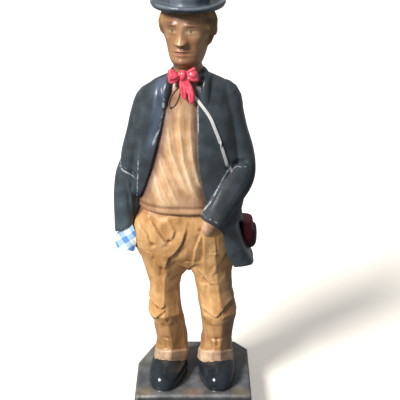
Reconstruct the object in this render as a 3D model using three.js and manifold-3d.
import * as THREE from 'three';
import { mergeVertices } from 'three/addons/utils/BufferGeometryUtils.js';
import Module from 'manifold-3d';

// A carved and painted wooden tramp on a square base, with a bow, a strap, a bag, a scrap of cloth
// and a wire loop fixed on. Millimetres, +Z up, the figure looks towards -Y and -X is its right side.
// The origin is the middle of the base's underside.

// Driving dimensions
const FIGURE_HEIGHT = 287.5; // soles to the top of the hat
const BASE_WIDTH = 84.5; // at its foot
const BASE_DEPTH = 79.5;
const BASE_HEIGHT = 17.5;
const BASE_EDGE = 1.4; // worn edge round the top of the base
const BASE_SPLAY = 1; // how far the base's foot stands out past its top
const COAT_WALL = 4.5; // thickness of the hanging skirt of the coat
const COAT_PROUD = 3; // step from the shirt up to the front of the coat
const LAPEL_ROLL = 1.3; // swelling along the coat's front edges
const FLUTE_PITCH = 6.2; // shirt folds, side to side
const FLUTE_DEPTH = 1.1;
const TURN_UP_HEIGHT = 9;
const TURN_UP_PROUD = 1.1;
const CROWN_RADIUS = 17.6;
const CROWN_HEIGHT = 23.1; // above the underside of the brim
const BRIM_REACH = 6.8; // crown to the edge of the brim
const BRIM_THICKNESS = 4.2;
const STRAP_WIDTH = 2.1;
const STRAP_THICKNESS = 0.7;
const WIRE_DIAMETER = 0.8;
const BEAD_DIAMETER = 1.8;
const BAG_WIDTH = 14;
const BAG_DEPTH = 22;
const BAG_HEIGHT = 20;
const CLOTH_WIDTH = 13.5;
const CLOTH_DROP = 16.5;
const CLOTH_THICKNESS = 1.6;
const CLEARANCE = 0.35; // between a fixed-on piece and the wood under it
const SLIVER = 0.01; // facets thinner than this, which the joins leave, are closed up

// The carving pattern. Its tables hold x and y on the base and the height above the soles, for a
// figure whose hat sits at HAT_SEAT, and every one of them is turned into place by at().
const CHIN = 229.5;
const HAT_SEAT = CHIN + 34.9;
const SCALE = (FIGURE_HEIGHT - CROWN_HEIGHT) / HAT_SEAT;
const STAND_X = -0.35; // where the pattern's axis stands on the base
const STAND_Y = 2.05;

function at(x, y, height) {
  return [STAND_X + SCALE * x, STAND_Y + SCALE * y, BASE_HEIGHT + SCALE * height];
}

const wasm = await Module();
wasm.setup();

// Forms

// A value for each column of the keys at any height, on a smooth curve through them.
function profile(keys, height) {
  const last = keys.length - 1;
  let low = 0;
  while (low < last - 1 && height > keys[low + 1][0]) low++;
  const [below, above] = [keys[low], keys[low + 1]];
  const span = above[0] - below[0];
  const t = Math.min(1, Math.max(0, (height - below[0]) / span));
  const slope = (key, column) => {
    const [before, after] = [keys[Math.max(0, key - 1)], keys[Math.min(last, key + 1)]];
    return (after[column] - before[column]) / (after[0] - before[0]);
  };
  return below.slice(1).map((start, index) => {
    const column = index + 1;
    const rise = above[column] - start;
    const leave = slope(low, column) * span;
    const arrive = slope(low + 1, column) * span;
    const square = 3 * rise - 2 * leave - arrive;
    const cube = leave + arrive - 2 * rise;
    return start + t * leave + t * t * square + t ** 3 * cube;
  });
}

function heights(from, to, rows) {
  return Array.from({ length: rows }, (_, row) => from + ((to - from) * row) / (rows - 1));
}

// Directions round a level section, anticlockwise from -X, with their own spacing front and back.
function bearings(front, back) {
  const ahead = Array.from({ length: front }, (_, i) => -Math.PI + (Math.PI * i) / front);
  return ahead.concat(Array.from({ length: back }, (_, i) => (Math.PI * i) / back));
}

// A level outline through its left, right, front and back, squarer as the power rises above 2.
function outline([left, right, front, back], power, directions, swell = () => 0) {
  const halfX = (right - left) / 2;
  const halfY = (back - front) / 2;
  return directions.map((angle, index) => {
    const c = Math.cos(angle);
    const s = Math.sin(angle);
    const reach = (Math.abs(c) ** power + Math.abs(s) ** power) ** (-1 / power);
    const x = left + halfX + halfX * c * reach;
    const y = front + halfY + halfY * s * reach;
    const out = swell(x, y, index);
    return [x + out * c, y + out * s];
  });
}

// The front face of such an outline, straight ahead of x.
function frontOf([left, right, front, back], power, x) {
  const halfX = (right - left) / 2;
  const halfY = (back - front) / 2;
  const across = Math.min(1, Math.abs((x - left) / halfX - 1));
  return front + halfY - halfY * (1 - across ** power) ** (1 / power);
}

// A repeatable unevenness from -1 to 1, as a knife leaves it.
function knife(row, side) {
  const wave = Math.sin(row * 12.9898 + side * 78.233) * 43758.5453;
  return 2 * (wave - Math.floor(wave)) - 1;
}

function bump(distance, width) {
  return Math.exp(-((distance / width) ** 2));
}

// How far the point (x, z) lies from the line between two others.
function fromLine(x, z, [x0, z0], [x1, z1]) {
  const along = ((x - x0) * (x1 - x0) + (z - z0) * (z1 - z0)) / ((x1 - x0) ** 2 + (z1 - z0) ** 2);
  const t = Math.min(1, Math.max(0, along));
  return Math.hypot(x - x0 - t * (x1 - x0), z - z0 - t * (z1 - z0));
}

// A closed skin over a pile of rings with the same number of points. A looped pile has no ends.
// Each four-sided patch is split along its shorter diagonal, so folds keep their line.
function skin(rings, looped = false) {
  const sides = rings[0].length;
  const position = rings.flat(2);
  const index = [];
  const bands = looped ? rings.length : rings.length - 1;
  for (let row = 0; row < bands; row++) {
    const next = (row + 1) % rings.length;
    for (let side = 0; side < sides; side++) {
      const beside = (side + 1) % sides;
      const [a, b, c, d] = [
        row * sides + side,
        row * sides + beside,
        next * sides + beside,
        next * sides + side,
      ];
      const [pa, pb, pc, pd] = [a, b, c, d].map((i) => new THREE.Vector3().fromArray(position, 3 * i));
      if (pa.distanceTo(pc) < pb.distanceTo(pd)) index.push(a, b, c, a, c, d);
      else index.push(a, b, d, b, c, d);
    }
  }
  if (!looped) {
    for (const [row, turned] of [[0, true], [rings.length - 1, false]]) {
      const ring = rings[row];
      const middle = [0, 1, 2].map((axis) => ring.reduce((sum, p) => sum + p[axis], 0) / sides);
      const centre = position.push(...middle) / 3 - 1;
      for (let side = 0; side < sides; side++) {
        const beside = (side + 1) % sides;
        const [a, b] = [row * sides + side, row * sides + beside];
        index.push(centre, ...(turned ? [b, a] : [a, b]));
      }
    }
  }
  return solid(position, index);
}

// A solid from a closed surface, turned so that its faces point out.
function solid(position, index) {
  let volume = 0;
  const corner = new THREE.Vector3();
  const [a, b, c] = [new THREE.Vector3(), new THREE.Vector3(), new THREE.Vector3()];
  for (let i = 0; i < index.length; i += 3) {
    a.fromArray(position, 3 * index[i]);
    b.fromArray(position, 3 * index[i + 1]);
    c.fromArray(position, 3 * index[i + 2]);
    volume += a.dot(corner.crossVectors(b, c));
  }
  const faces = volume < 0 ? index.slice().reverse() : index;
  const mesh = new wasm.Mesh({
    numProp: 3,
    vertProperties: new Float32Array(position),
    triVerts: new Uint32Array(faces),
  });
  return new wasm.Manifold(mesh);
}

// Level rings between two heights, from the keys of a profile.
function lofted(keys, levels, power, directions, swell = () => 0) {
  return skin(
    levels.map((height, row) => {
      const level = (x, y, side) => swell(x, y, height, side, row);
      return outline(profile(keys, height), power, directions, level).map(([x, y]) => at(x, y, height));
    }),
  );
}

// A limb or band along a path of stations [x, y, height, half width, half depth]. The depth is
// measured as near to Y as the path allows, and the last ring can slant.
function limb(stations, sides, { power = 2, uneven = 0, slant = 0, turn = 0, looped = false } = {}) {
  const count = stations.length;
  const rings = stations.map(([x, y, height, wide, deep], row) => {
    const before = stations[looped ? (row + count - 1) % count : Math.max(0, row - 1)];
    const after = stations[looped ? (row + 1) % count : Math.min(count - 1, row + 1)];
    const along = new THREE.Vector3(after[0] - before[0], after[1] - before[1], after[2] - before[2]);
    along.normalize();
    const depth = new THREE.Vector3(0, 1, 0).addScaledVector(along, -along.y).normalize();
    const width = new THREE.Vector3().crossVectors(depth, along);
    return Array.from({ length: sides }, (_, side) => {
      const angle = turn + (2 * Math.PI * (side + (looped ? 0 : 0.5 * (row % 2)))) / sides;
      const c = Math.cos(angle);
      const s = Math.sin(angle);
      const reach = (Math.abs(c) ** power + Math.abs(s) ** power) ** (-1 / power);
      const cut = 1 + uneven * knife(row, side);
      const point = new THREE.Vector3(x, y, height);
      point.addScaledVector(width, wide * c * reach * cut);
      point.addScaledVector(depth, deep * s * reach * cut);
      if (row === count - 1) point.z += slant * (point.x - x);
      return at(point.x, point.y, point.z);
    });
  });
  return skin(rings, looped);
}

// Base: a square block with worn top edges and its two back corners cut off.
const BASE_LEFT_CUT = [12.4, 31];
const BASE_RIGHT_CUT = [9.2, 11.4];
const BASE_FRONT_CUT = [2.4, 2.4];

function baseRing(grow, height) {
  const x = BASE_WIDTH / 2 + grow;
  const y = BASE_DEPTH / 2 + grow;
  const [leftX, leftY] = BASE_LEFT_CUT;
  const [rightX, rightY] = BASE_RIGHT_CUT;
  const [frontX, frontY] = BASE_FRONT_CUT;
  return [
    [-x, -y + frontY, height],
    [-x + frontX, -y, height],
    [x - frontX, -y, height],
    [x, -y + frontY, height],
    [x, y - rightY, height],
    [x - rightX, y, height],
    [-x + leftX, y, height],
    [-x, y - leftY, height],
  ];
}

const base = skin([
  baseRing(0, 0),
  baseRing(0, BASE_HEIGHT * 0.3),
  baseRing(-BASE_SPLAY, BASE_HEIGHT - BASE_EDGE),
  baseRing(-BASE_SPLAY - BASE_EDGE, BASE_HEIGHT),
]);

// Shoes: a low pile of egg outlines, [height, half width, toe, heel], turned about the heel.
const SHOE = [
  [-1.5, 12.8, -34.5, 14],
  [0.5, 13.2, -35.6, 14],
  [4.5, 13.6, -36, 14],
  [8.5, 12.8, -34.4, 14],
  [11.4, 10.4, -31, 13],
  [13.4, 7, -26, 12],
  [14.4, 3.2, -21, 10],
];
const SHOE_SIDES = 16;

function shoe(heelX, toeOut) {
  const rings = SHOE.map(([height, wide, toe, heel]) =>
    Array.from({ length: SHOE_SIDES }, (_, side) => {
      const angle = (2 * Math.PI * side) / SHOE_SIDES;
      const [c, s] = [Math.cos(angle), Math.sin(angle)];
      const blunt = (Math.abs(c) ** 2.4 + Math.abs(s) ** 2.4) ** (-1 / 2.4);
      const across = wide * c * blunt * (s < 0 ? 1 : 0.86);
      const along = (s < 0 ? -toe * s : heel * s) * blunt;
      const [turnX, turnY] = [Math.cos(toeOut), Math.sin(toeOut)];
      return at(heelX + across * turnX - along * turnY, across * turnY + along * turnX, height);
    }),
  );
  return skin(rings);
}

const shoes = shoe(-16.4, -0.15).add(shoe(17.4, 0.04));

// Trousers: [height, left, right, front, back] for the hips and for each leg. Their few sides are the
// broad flats that the knife left.
const HIPS = [
  [83.5, -30, 25, -10, 12],
  [90, -33, 27.6, -15.5, 15.5],
  [98, -39.6, 30.4, -20.6, 18],
  [110.5, -43, 30.5, -23.5, 19],
  [122.5, -40.5, 28.5, -24, 18.5],
  [134.5, -34, 24, -22, 17],
];
const LEFT_VIEW_LEG = [
  [0.5, -29, -4.8, -12, 16],
  [13, -28.4, -4.6, -17, 16],
  [18, -27.2, -4, -16, 15.6],
  [24, -25.8, -3.6, -15, 15.4],
  [32, -26.8, -4.6, -14.4, 15],
  [42, -29, -5.8, -15, 14.6],
  [49.5, -32.6, -7.2, -18.6, 14.2],
  [57, -31.8, -8.2, -16.6, 14.6],
  [68, -31, -8.6, -16, 15],
  [78, -32.4, -6.6, -16.6, 15.6],
  [84, -34, -2, -17.4, 16.4],
  [92, -36.6, 0, -19.2, 17.4],
  [101, -40, 2, -21, 18],
];
const RIGHT_VIEW_LEG = [
  [0.5, 3.6, 30, -12, 16],
  [13, 3.4, 30, -18, 16],
  [18, 4.8, 28.8, -16.6, 15.6],
  [24, 6, 28, -15.6, 15.4],
  [32, 6.4, 28.8, -15, 15],
  [42, 5.9, 30.4, -15.6, 14.6],
  [49.5, 4.6, 32.4, -19, 14.2],
  [57, 3.2, 30.8, -17.4, 14.6],
  [68, 2.2, 28.6, -16.6, 15],
  [78, 0.6, 28.4, -17, 15.6],
  [84, -3.6, 29.4, -17.8, 16.4],
  [92, -6, 30.6, -19.4, 17.4],
  [101, -8, 30.6, -21, 18],
];
const LEG_SIDES = 11;
const KNIFE_FLAT = 0.6; // unevenness of the flats
const TURN_UP_RISE = 13; // the front of the hem above the soles
const TURN_UP_DROP = 11; // from there down to the heel

function leg(keys, seed) {
  const rings = keys.map(([height, ...section], row) => {
    const directions = Array.from({ length: LEG_SIDES }, (_, side) => (2 * Math.PI * side) / LEG_SIDES);
    const cut = (x, y, side) => KNIFE_FLAT * (knife(seed, side) + 0.5 * knife(row + seed, side));
    return outline(section, 2.5, directions, cut).map(([x, y]) => at(x, y, height));
  });
  return skin(rings);
}

// The turn-up is a band round the foot of the leg that drops from the front to the heel.
function turnUp(keys) {
  const levels = [-0.5, -0.1, 0.45, 0.55].map((share) => share * TURN_UP_HEIGHT);
  const directions = bearings(9, 6);
  const rings = levels.map((level, row) => {
    const proud = row === levels.length - 1 ? -1 : TURN_UP_PROUD;
    const middle = TURN_UP_RISE + TURN_UP_HEIGHT / 2;
    const [left, right, front, back] = profile(keys, middle + level * 0.6);
    const ring = outline([left, right, front, back], 2.5, directions, () => proud);
    return ring.map(([x, y]) => {
      const drop = (TURN_UP_DROP * (y - front)) / (back - front);
      return at(x, y, Math.max(-1, middle + level - drop));
    });
  });
  return skin(rings);
}

// Folds in the cloth of the hips, as lines of x and height with their swelling and width.
const HIP_FOLDS = [
  [[-39, 125], [-28, 108], 2.2, 3.2],
  [[-30, 129], [-17, 110], 2.4, 3.4],
  [[-15, 128], [-11, 118], 1.4, 3],
  [[-2, 126], [-10, 101], 2, 3.6],
  [[-11, 101], [-19, 87], 1.6, 3],
  [[6, 116], [-1, 88], 2, 3.6],
  [[17, 112], [12, 80], 1.8, 4],
];
const HIP_NOTCHES = [
  [[-15.5, 112], 2, 2.4],
  [[-27, 106.5], 1.6, 2.6],
];

function hipFold(x, y, height, side, row) {
  if (y > -6) return KNIFE_FLAT * knife(row + 40, side);
  const folds = HIP_FOLDS.map(([from, to, swell, width]) => {
    return swell * bump(fromLine(x, height, from, to), width);
  });
  const notches = HIP_NOTCHES.map(([[notchX, notchZ], deep, width]) => {
    return deep * bump(Math.hypot(x - notchX, height - notchZ), width);
  });
  return Math.max(...folds) - notches.reduce((sum, deep) => sum + deep) - KNIFE_FLAT;
}

const HIP_ROWS = heights(HIPS[0][0], HIPS[HIPS.length - 1][0], 11);
const hips = lofted(HIPS, HIP_ROWS, 2.5, bearings(24, 8), hipFold);
const legs = [
  [LEFT_VIEW_LEG, 3],
  [RIGHT_VIEW_LEG, 17],
].map(([keys, seed]) => leg(keys, seed).add(turnUp(keys)));
const trousers = legs[0].add(legs[1]).add(hips);

// Shirt: [height, left, right, front, back]. Upright flutes on the chest lean over into slanting
// folds towards the hem, which stands over the trousers.
const SHIRT = [
  [130, -34.5, 24, -23.5, 16],
  [131.5, -36, 25, -25.4, 17],
  [138, -36, 25, -25.6, 17],
  [150, -34.5, 25, -24.4, 17],
  [167.5, -31, 24, -21.6, 17],
  [187.5, -28, 22, -18.8, 16],
  [207.5, -24, 18, -15.4, 14],
  [217.5, -18.5, 12, -12.5, 12],
  [224, -13, 8, -10, 10],
];
const SHIRT_POWER = 2.3;
const HEM_TILT = 0.02; // the hem climbs towards the figure's right
const FLUTE_TOP = 214; // where the flutes run out under the bow
const FOLD_TOP = 182; // where they start to lean over

function shirtFold(x, y, height) {
  if (y > -2) return 0;
  const lean = 0.0055 * Math.max(0, FOLD_TOP - height) ** 2;
  const phase = ((x - 0.5 * lean + 3.2) * 2 * Math.PI) / FLUTE_PITCH;
  const fade = Math.min(1, Math.max(0, (FLUTE_TOP - height) / 14));
  return fade * FLUTE_DEPTH * (0.6 * Math.cos(phase) - 0.2);
}

const SHIRT_ROWS = [129.5, 130.6, 134, 139, 145, 152, 160, 168, 177, 187, 198, 209, 217, 224];
const shirt = skin(
  SHIRT_ROWS.map((height) => {
    const fold = (x, y) => shirtFold(x, y, height);
    const ring = outline(profile(SHIRT, height), SHIRT_POWER, bearings(30, 4), fold);
    const tilt = HEM_TILT * Math.max(0, (150 - height) / 20);
    return ring.map(([x, y]) => at(x, y, height - tilt * (x + 6)));
  }),
);

// Coat: [height, left, right, front, back]. It hangs open in front between two edges, and its skirt
// swings out behind the figure's left hip.
const COAT = [
  [86, -31, 43.6, -17, 33],
  [94.5, -33, 39.6, -19, 31.5],
  [104, -36, 35.4, -21, 29],
  [115.5, -39, 32, -23.5, 26.5],
  [132.5, -39.5, 33, -25.4, 24],
  [157.5, -38, 33.5, -22.6, 22.5],
  [182.5, -35.5, 31.5, -19.6, 22],
  [200.5, -34, 29.5, -16.8, 21],
  [211, -31.5, 26.8, -14.2, 19],
  [216.5, -26, 22.5, -11.8, 16],
  [221, -16.5, 13, -9, 13],
  [224, -11.8, 7.4, -7.5, 11],
];
const COAT_POWER = 2.5;
const COAT_HEM = 86;
const PLEAT_PITCH = 17; // soft folds in the back of the skirt
const PLEAT_DEPTH = 1.3;
const LAPEL_WIDTH = 4.5;
const HEM_RISE = 5; // the skirt's hem climbs to the front
const LEFT_EDGE = [
  [138, -41],
  [141.6, -35.2],
  [157.3, -29],
  [181.1, -22.6],
  [203.9, -17.8],
  [222, -15.5],
  [232, -14],
];
const RIGHT_EDGE = [
  [76, 34],
  [91, 27.6],
  [98, 24.4],
  [106, 22],
  [116, 20.4],
  [124, 14],
  [143.3, 8.6],
  [159.4, 5.1],
  [190.4, 3.9],
  [217.5, 3.7],
  [232, 3],
];
const COAT_ROWS = [86, 91, 97, 105, 114, 124, 134, 145, 157, 169, 181, 192, 201, 208, 213, 217, 220.5, 224];

function coatFold(x, y, height) {
  const back = Math.min(1, Math.max(0, y / 12));
  const skirt = Math.min(1, Math.max(0, (125 - height) / 40));
  const pleat = back * skirt * PLEAT_DEPTH * Math.cos(((x - 6) * 2 * Math.PI) / PLEAT_PITCH);
  if (y > -3) return pleat;
  const edges = [LEFT_EDGE, RIGHT_EDGE].map((edge) => bump(x - profile(edge, height)[0], LAPEL_WIDTH));
  return COAT_PROUD + LAPEL_ROLL * Math.max(...edges);
}

// The opening is a slab of air behind the figure's front, cut to the line of the two edges.
function slab(points, front, back) {
  const shape = new THREE.Shape(points.map(([x, height]) => new THREE.Vector2(x, height)));
  const geometry = new THREE.ExtrudeGeometry(shape, { depth: back - front, bevelEnabled: false });
  geometry.deleteAttribute('normal');
  geometry.deleteAttribute('uv');
  const merged = mergeVertices(geometry);
  const place = merged.attributes.position;
  const position = [];
  for (let i = 0; i < place.count; i++) {
    position.push(...at(place.getX(i), front + place.getZ(i), place.getY(i)));
  }
  return solid(position, Array.from(merged.index.array));
}

const chestOpening = slab(
  [
    ...LEFT_EDGE.slice(1).map(([height, x]) => [x, height]),
    ...RIGHT_EDGE.slice(5).reverse().map(([height, x]) => [x, height]),
    [-40, 124],
    [-41, 136],
  ],
  -60,
  -4,
);
const skirtOpening = slab(
  [
    ...RIGHT_EDGE.slice(0, 6).map(([height, x]) => [x, height]),
    [-10, 132],
    [-60, 128],
    [-60, 70],
    [30, 70],
  ],
  -60,
  9,
);
const coatInside = lofted(
  COAT.map(([height, left, right, front, back]) => [
    height,
    left + COAT_WALL,
    right - COAT_WALL,
    front + COAT_WALL,
    back - COAT_WALL,
  ]),
  heights(COAT_HEM - 3, 118, 6),
  COAT_POWER,
  bearings(14, 14),
);

// The coat's outside, which can be grown for what rests against it.
function coatOuter(grow) {
  return skin(
    COAT_ROWS.map((height) => {
      const fold = (x, y) => coatFold(x, y, height) + grow;
      const fade = Math.max(0, 1 - (height - COAT_HEM) / 30);
      const ring = outline(profile(COAT, height), COAT_POWER, bearings(24, 14), fold);
      return ring.map(([x, y]) => {
        const forward = Math.min(1, Math.max(0, (8 - y) / 24));
        return at(x, y, height + HEM_RISE * fade * forward);
      });
    }),
  );
}

const coatBody = coatOuter(0)
  .subtract(chestOpening)
  .subtract(skirtOpening)
  .subtract(coatInside);

// The collar is a roll that lies round the neck and runs down into the two lapels.
const COLLAR = [
  [-18.4, -15.8, 203, 3.2, 1.8],
  [-17.2, -13.6, 212, 3.2, 2.2],
  [-15.6, -9, 218, 2.8, 2.6],
  [-13.6, -1, 221, 2.8, 3],
  [-10, 8, 223, 3, 3.2],
  [-2.5, 12, 224, 3, 3.4],
  [5, 8, 223, 3, 3.2],
  [9, -1, 221, 2.8, 3],
  [9.6, -9, 218, 2.8, 2.6],
  [8.4, -13.6, 212, 3.2, 2.2],
  [7.4, -16.2, 203, 3.2, 1.8],
];
const collar = limb(COLLAR, 7);

// Sleeves: [x, y, height, half width, half depth] from inside the shoulder to the cuff.
const LEFT_VIEW_SLEEVE = [
  [-19, 3, 211, 6, 9],
  [-27.6, 3, 204.5, 9.6, 12],
  [-32.6, 3, 194, 9, 12.4],
  [-35.8, 3, 182, 8.6, 12.4],
  [-39.4, 2, 169, 8.6, 12.4],
  [-42, 1.2, 159, 7.8, 11.8],
  [-43.8, 0, 152, 8.8, 12.4],
  [-45.8, -3, 140, 8.2, 11.6],
  [-46.3, -5, 126, 7.6, 11],
  [-46.6, -6.6, 116, 7.1, 10.4],
];
const RIGHT_VIEW_SLEEVE = [
  [14, 3, 213, 6, 9],
  [22.4, 3, 206.4, 9.6, 12],
  [25.6, 3, 194, 9.2, 12.4],
  [28.6, 3, 182, 9, 12.6],
  [32.4, 2, 169, 9.2, 12.8],
  [33.4, -0.5, 158.5, 9.8, 12.6],
  [30.6, -7, 151.5, 11, 12.4],
  [25, -14, 144.5, 11, 11.4],
  [18.2, -20.6, 134.6, 9.6, 9.8],
  [12.4, -25, 125, 8, 8],
];
const SLEEVE_SIDES = 11;
const sleeves = limb(LEFT_VIEW_SLEEVE, SLEEVE_SIDES, { power: 2.4, uneven: 0.02, slant: 0.55 }).add(
  limb(RIGHT_VIEW_SLEEVE, SLEEVE_SIDES, { power: 2.4, uneven: 0.02 }),
);

// Both hands are in the trouser pockets, so only the wrists are carved.
const LEFT_VIEW_WRIST = [
  [-46.4, -6.6, 120, 5, 6.4],
  [-44, -7, 108, 5, 6.4],
  [-40, -8, 101, 4, 5],
];
const RIGHT_VIEW_WRIST = [
  [13.4, -23.4, 127, 5.6, 5.8],
  [10.6, -22.4, 119.5, 5.2, 5.4],
  [10, -19.5, 114, 4, 4],
];
const wrists = limb(LEFT_VIEW_WRIST, 7).add(limb(RIGHT_VIEW_WRIST, 7));

// Head: [height above the chin, half width, front, back] about its own axis, turned to one side.
const HEAD = [
  [-8, 8.4, -8.5, 10],
  [-3, 8.6, -9, 10.5],
  [-0.6, 7.4, -12.2, 11],
  [2.5, 9, -15, 12.5],
  [8, 11.4, -15.4, 14.5],
  [14, 13.6, -15.4, 17],
  [20, 15.6, -15.6, 18.6],
  [27, 16.8, -16.4, 19.6],
  [36, 16.8, -16.2, 19.6],
  [44, 12.5, -12, 15],
];
const HEAD_X = -2.7;
const HEAD_Y = -0.5;
const HEAD_TURN = -0.26;
const HEAD_ROWS = [-8, -2, 1.4, 4, 6.2, 8, 9.8, 11.8, 13.8, 15.6, 18, 20.4, 22.4, 24.6, 27, 30.5, 36, 44];

// Brow, sockets, nose, lips, chin, cheeks and the locks of hair beside the face, as swellings.
function feature(x, y, height) {
  const side = Math.abs(x);
  if (y < 0 && side < 12.5) {
    const bridge = height > 14 && height < 27 ? ((27 - height) / 13) ** 1.2 : 0;
    const nose = 5.4 * bridge * bump(x, 2.2 + 1.3 * bridge);
    const nostril = 1.6 * bump(height - 15.6, 1.8) * bump(side - 2.4, 1.6);
    const socket = -1.7 * bump(height - 23, 2.6) * bump(side - 6.2, 3.4);
    const eye = 1.1 * bump(height - 22.6, 1.5) * bump(side - 6.2, 2.2);
    const brow = 1 * bump(height - 27, 1.7) * bump(side - 6, 4.4);
    const upperLip = 0.9 * bump(height - 10.2, 1);
    const lowerLip = 0.9 * bump(height - 7.4, 1);
    const lips = bump(x, 4.6) * (upperLip + lowerLip - 0.8 * bump(height - 8.8, 0.7));
    const chin = 1.2 * bump(height - 2.6, 2.2) * bump(x, 4.5);
    const cheek = 0.9 * bump(height - 17.5, 4) * bump(side - 9.5, 3.4);
    return nose + nostril + socket + eye + brow + lips + chin + cheek;
  }
  const hairline = y < 0 ? 19 : 12;
  const hair = Math.min(1, Math.max(0, (height - hairline) / 3));
  return hair * (1.5 + 0.5 * Math.cos(2.1 * y + 0.5 * height));
}

function turned(x, y, height) {
  const [c, s] = [Math.cos(HEAD_TURN), Math.sin(HEAD_TURN)];
  return at(HEAD_X + x * c - y * s, HEAD_Y + x * s + y * c, CHIN + height);
}

const face = skin(
  HEAD_ROWS.map((height) => {
    const [wide, front, back] = profile(HEAD, height);
    const ring = outline([-wide, wide, front, back], 2.2, bearings(26, 9), (x, y) => feature(x, y, height));
    return ring.map(([x, y]) => turned(x, y, height));
  }),
);

// An ear is a small shell of rings [distance from the head's middle, half depth, half height].
const EAR = [
  [13.6, 3.1, 4.2],
  [17.2, 2.9, 5],
  [18.6, 2, 4],
  [19.2, 0.9, 1.8],
];
const EAR_HEIGHT = 23;
const EAR_SIDES = 9;

function ear(side) {
  return skin(
    EAR.map(([x, deep, tall]) =>
      Array.from({ length: EAR_SIDES }, (_, i) => {
        const angle = (2 * Math.PI * i) / EAR_SIDES;
        const sweep = 0.5 * (x - EAR[0][0]) - 1;
        return turned(side * x, sweep + deep * Math.cos(angle), EAR_HEIGHT + tall * Math.sin(angle));
      }),
    ),
  );
}

const NECK = [
  [205, -11, 10, -9, 11],
  [215, -9.6, 10, -9, 11],
  [CHIN - 1.5, -9, 10, -9.5, 10],
];
const NECK_ROWS = NECK.map(([height]) => height);
const neck = lofted(NECK, NECK_ROWS, 2, bearings(8, 8));
const head = face.add(neck).add(ear(-1)).add(ear(1));

// Hat: a bowler, [radius, height above the underside of the brim], whose brim curls up at the sides.
const HAT_X = -2.4;
const HAT_DEPTH = 1.05; // front to back over side to side
const BRIM_CURL = 1.6;
const BRIM_EDGE = CROWN_RADIUS + BRIM_REACH;
const HAT = [
  [CROWN_RADIUS * 0.8, 0],
  [BRIM_EDGE * 0.88, 0.3],
  [BRIM_EDGE * 0.97, BRIM_THICKNESS * 0.4],
  [BRIM_EDGE, BRIM_THICKNESS * 0.75],
  [BRIM_EDGE * 0.97, BRIM_THICKNESS * 1.05],
  [BRIM_EDGE * 0.88, BRIM_THICKNESS],
  [CROWN_RADIUS * 1.02, BRIM_THICKNESS * 0.8],
  [CROWN_RADIUS, CROWN_HEIGHT * 0.36],
  [CROWN_RADIUS * 0.96, CROWN_HEIGHT * 0.6],
  [CROWN_RADIUS * 0.83, CROWN_HEIGHT * 0.81],
  [CROWN_RADIUS * 0.58, CROWN_HEIGHT * 0.94],
  [CROWN_RADIUS * 0.26, CROWN_HEIGHT],
];
const HAT_SIDES = 24;
const hat = skin(
  HAT.map(([radius, height]) =>
    Array.from({ length: HAT_SIDES }, (_, side) => {
      const angle = (2 * Math.PI * side) / HAT_SIDES;
      const rim = Math.max(0, (radius - CROWN_RADIUS) / BRIM_REACH);
      const curl = BRIM_CURL * rim * rim * Math.cos(angle) ** 2;
      const x = HAT_X + (radius * Math.cos(angle)) / SCALE;
      const y = HEAD_Y + (HAT_DEPTH * radius * Math.sin(angle)) / SCALE;
      return at(x, y, HAT_SEAT + (height + curl) / SCALE);
    }),
  ),
);

// Bow: two puffed loops, a knot and two tails. Each fixed-on form can be grown, which is how the
// wood under it is cut back by the clearance.
function grown(stations, grow) {
  return stations.map(([x, y, height, wide, deep]) => [x, y, height, wide + grow, deep + grow]);
}

const LEFT_VIEW_LOOP = [
  [-4.6, -14.4, 224.2, 2, 1.8],
  [-9, -15, 224.4, 4, 2.5],
  [-13, -14.6, 223.6, 5, 2.3],
  [-14.6, -14, 223.2, 4, 1.2],
];
const RIGHT_VIEW_LOOP = [
  [-5.8, -14.4, 224.2, 2, 1.8],
  [-1.4, -15, 225, 3.8, 2.5],
  [2, -14.6, 225.8, 5, 2.3],
  [3.6, -14, 226.2, 4, 1.2],
];
const KNOT = [
  [-5.2, -15, 227.6, 2.2, 1.4],
  [-5.2, -15.6, 224.4, 2.9, 2.6],
  [-5, -15.4, 221, 2.4, 1.8],
];
const LEFT_VIEW_TAIL = [
  [-5.2, -15.6, 222.4, 1.6, 1.4],
  [-5.3, -16.6, 216, 2, 1.2],
  [-5.4, -18, 210.4, 1.5, 0.9],
];
const RIGHT_VIEW_TAIL = [
  [-4.8, -15.6, 222.4, 1.6, 1.4],
  [-2.6, -17, 214.4, 2.2, 1.3],
  [-0.6, -18.6, 206, 1.5, 0.9],
];
const BOW = [LEFT_VIEW_LOOP, RIGHT_VIEW_LOOP, KNOT, LEFT_VIEW_TAIL, RIGHT_VIEW_TAIL];

function bow(grow) {
  const forms = BOW.map((stations) => limb(grown(stations, grow), 7));
  return forms.reduce((whole, form) => whole.add(form));
}

// Strap: a flat lace over the coat, [x, height] on its front, then through a slit behind the elbow
// and down the flank to the bag. It turns over once, at STRAP_TWIST above the soles.
const STRAP_FRONT = [
  [-1.5, 214],
  [1.5, 210],
  [4, 207.4],
  [7, 203.6],
  [10.2, 199.3],
  [12.8, 194.7],
  [15.1, 188.9],
  [17.4, 183],
  [18.4, 180],
  [19.2, 177.4],
  [20.5, 173.5],
  [22.2, 168],
  [23.4, 163.6],
];
const STRAP_BEHIND = [
  [24.8, -13, 159],
  [27.6, -9, 152],
  [31.4, -4, 143],
  [34.4, 1, 133],
  [35.8, 5, 124],
  [35.6, 9, 117],
  [36.6, 12, 113.2],
];
const STRAP_TWIST = 178.5;
const STRAP_LEAN = 0.28; // the lace faces this far round towards the side of the chest

function coatFront(x, height) {
  return frontOf(profile(COAT, height), COAT_POWER, x) - coatFold(x, -10, height) * 0.96;
}

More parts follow.
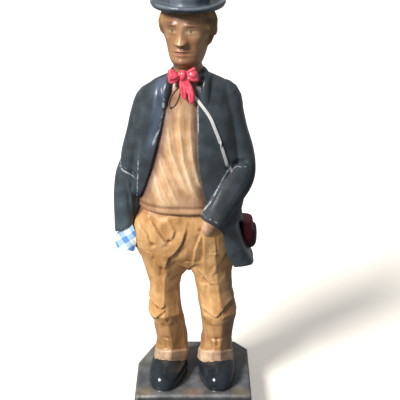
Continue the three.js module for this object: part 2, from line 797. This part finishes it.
function strap(grow) {
  const lift = STRAP_THICKNESS / 2 + CLEARANCE;
  const front = STRAP_FRONT.map(([x, height]) => [x, coatFront(x, height) - lift, height]);
  const stations = [...front, ...STRAP_BEHIND].map((place) => new THREE.Vector3(...place));
  const rings = stations.map((place, row) => {
    const before = stations[Math.max(0, row - 1)];
    const after = stations[Math.min(stations.length - 1, row + 1)];
    const along = after.clone().sub(before).normalize();
    const out = new THREE.Vector3(STRAP_LEAN, -1, 0);
    out.addScaledVector(along, -out.dot(along)).normalize();
    const turn = Math.PI / (1 + Math.exp((place.z - STRAP_TWIST) / 0.7));
    out.applyAxisAngle(along, turn);
    const wide = new THREE.Vector3().crossVectors(out, along);
    const narrow = 1 - 0.45 * bump(place.z - STRAP_TWIST, 2);
    return [[-1, -1], [1, -1], [1, 1], [-1, 1]].map(([u, v]) => {
      const corner = place.clone();
      corner.addScaledVector(wide, u * ((STRAP_WIDTH / 2) * narrow + grow));
      corner.addScaledVector(out, v * (STRAP_THICKNESS / 2 + grow));
      return at(corner.x, corner.y, corner.z);
    });
  });
  return skin(rings);
}

// Wire loop: a teardrop from behind the bow, lying on the shirt, with a small bead at its foot.
const LOOP_TOP = [-7, 217.5];
const LOOP_FOOT = [-14.2, 203];
const LOOP_WIDTH = 6.4;
const LOOP_STEPS = 16;

function shirtFront(x, height) {
  return frontOf(profile(SHIRT, height), SHIRT_POWER, x) - Math.max(0, shirtFold(x, -10, height));
}

function wireLoop(grow) {
  const [dx, dz] = [LOOP_FOOT[0] - LOOP_TOP[0], LOOP_FOOT[1] - LOOP_TOP[1]];
  const length = Math.hypot(dx, dz);
  const radius = WIRE_DIAMETER / 2 + grow;
  const stations = Array.from({ length: LOOP_STEPS }, (_, step) => {
    const turn = (2 * Math.PI * step) / LOOP_STEPS;
    const down = (1 - Math.cos(turn)) / 2;
    const across = (LOOP_WIDTH / 2) * Math.sin(turn) * (0.35 + 0.65 * down);
    const x = LOOP_TOP[0] + dx * down - (across * dz) / length;
    const height = LOOP_TOP[1] + dz * down + (across * dx) / length;
    return [x, shirtFront(x, height) - WIRE_DIAMETER / 2 - CLEARANCE, height, radius, radius];
  });
  const rings = stations.map(([x, y, height], step) => {
    const after = stations[(step + 1) % LOOP_STEPS];
    const before = stations[(step + LOOP_STEPS - 1) % LOOP_STEPS];
    const along = new THREE.Vector3(after[0] - before[0], after[1] - before[1], after[2] - before[2]);
    along.normalize();
    const depth = new THREE.Vector3(0, 1, 0).addScaledVector(along, -along.y).normalize();
    const side = new THREE.Vector3().crossVectors(depth, along);
    return Array.from({ length: 5 }, (_, i) => {
      const angle = (2 * Math.PI * i) / 5;
      const point = new THREE.Vector3(x, y, height);
      point.addScaledVector(side, radius * Math.cos(angle)).addScaledVector(depth, radius * Math.sin(angle));
      return at(point.x, point.y, point.z);
    });
  });
  const foot = stations[LOOP_STEPS / 2];
  const ball = new THREE.SphereGeometry(BEAD_DIAMETER / 2 + grow, 6, 4);
  ball.deleteAttribute('normal');
  ball.deleteAttribute('uv');
  const merged = mergeVertices(ball);
  const centre = at(foot[0], foot[1], foot[2]);
  const position = Array.from(merged.attributes.position.array, (value, i) => value + centre[i % 3]);
  return skin(rings, true).add(solid(position, Array.from(merged.index.array)));
}

// Bag: a stuffed pouch with a flat top, cut to lie against the skirt behind the figure's left hip.
const BAG_X = 38.4;
const BAG_Y = 16.5;
const BAG_TOP = 112.2;
const BAG = [
  [1, 0.5],
  [0.93, 0.82],
  [0.75, 1],
  [0.45, 1],
  [0.2, 0.93],
  [0.04, 0.9],
  [0, 0.84],
];

function bag(grow) {
  const rings = BAG.map(([down, full]) => {
    const halfX = (BAG_WIDTH / 2) * full + grow;
    const halfY = (BAG_DEPTH / 2) * full + grow;
    const spread = down === 1 ? -grow : down === 0 ? grow : 0;
    const height = BAG_TOP + (spread - BAG_HEIGHT * down) / SCALE;
    const lean = 2.4 * down;
    return outline([-halfX, halfX, -halfY, halfY], 3.2, bearings(8, 8)).map(([x, y]) =>
      at(BAG_X + lean * 0.4 + x / SCALE, BAG_Y + y / SCALE, height - 0.12 * x),
    );
  });
  return skin(rings);
}

const bagBody = bag(0).subtract(coatOuter(CLEARANCE));

// Handkerchief: a soft scrap of cloth that hangs out of the pocket under the cuff.
const CLOTH_X = -44.6;
const CLOTH_Y = -14.5;
const CLOTH_TOP = 121.6;

function cloth(grow) {
  const rings = heights(0, 1, 5).map((down) => {
    const drop = CLOTH_DROP * down + (down === 1 ? grow : down === 0 ? -grow : 0);
    const wide = (CLOTH_WIDTH / 2) * (0.7 + 0.3 * Math.min(1, 3 * down)) + grow;
    const deep = CLOTH_THICKNESS / 2 + grow;
    const sway = 0.5 * Math.sin(down * 1.5 * Math.PI);
    return outline([-wide, wide, -deep, deep], 4, bearings(6, 6)).map(([x, y]) =>
      at(CLOTH_X + x / SCALE, CLOTH_Y + (y + sway) / SCALE - 1.5 * down, CLOTH_TOP - drop / SCALE),
    );
  });
  return skin(rings);
}

// The carving is one block, cut back where the other pieces are fixed on.
const carving = [shoes, trousers, shirt, coatBody, collar, sleeves, wrists, head, hat]
  .reduce((whole, form) => whole.add(form), base)
  .subtract(bow(CLEARANCE))
  .subtract(strap(CLEARANCE))
  .subtract(wireLoop(CLEARANCE))
  .subtract(cloth(CLEARANCE))
  .simplify(SLIVER);

function piece(name, form, color, roughness) {
  const mesh = form.getMesh();
  const geometry = new THREE.BufferGeometry();
  geometry.setAttribute('position', new THREE.BufferAttribute(mesh.vertProperties, 3));
  geometry.setIndex(new THREE.BufferAttribute(mesh.triVerts, 1));
  const material = new THREE.MeshStandardMaterial({ color, roughness, metalness: 0 });
  const part = new THREE.Mesh(geometry, material);
  part.name = name;
  return part;
}

const figurine = new THREE.Group();
figurine.add(
  piece('carved_figure', carving, '#2a3338', 0.3),
  piece('red_bow', bow(0), '#c81e3a', 0.25),
  piece('bag_strap', strap(0).subtract(bow(CLEARANCE)).subtract(bag(CLEARANCE)), '#c9ccc9', 0.5),
  piece('wire_loop', wireLoop(0).subtract(bow(CLEARANCE)), '#3a2f28', 0.4),
  piece('shoulder_bag', bagBody, '#4a1222', 0.3),
  piece('handkerchief', cloth(0), '#8fb2e0', 0.9),
);

export default figurine;
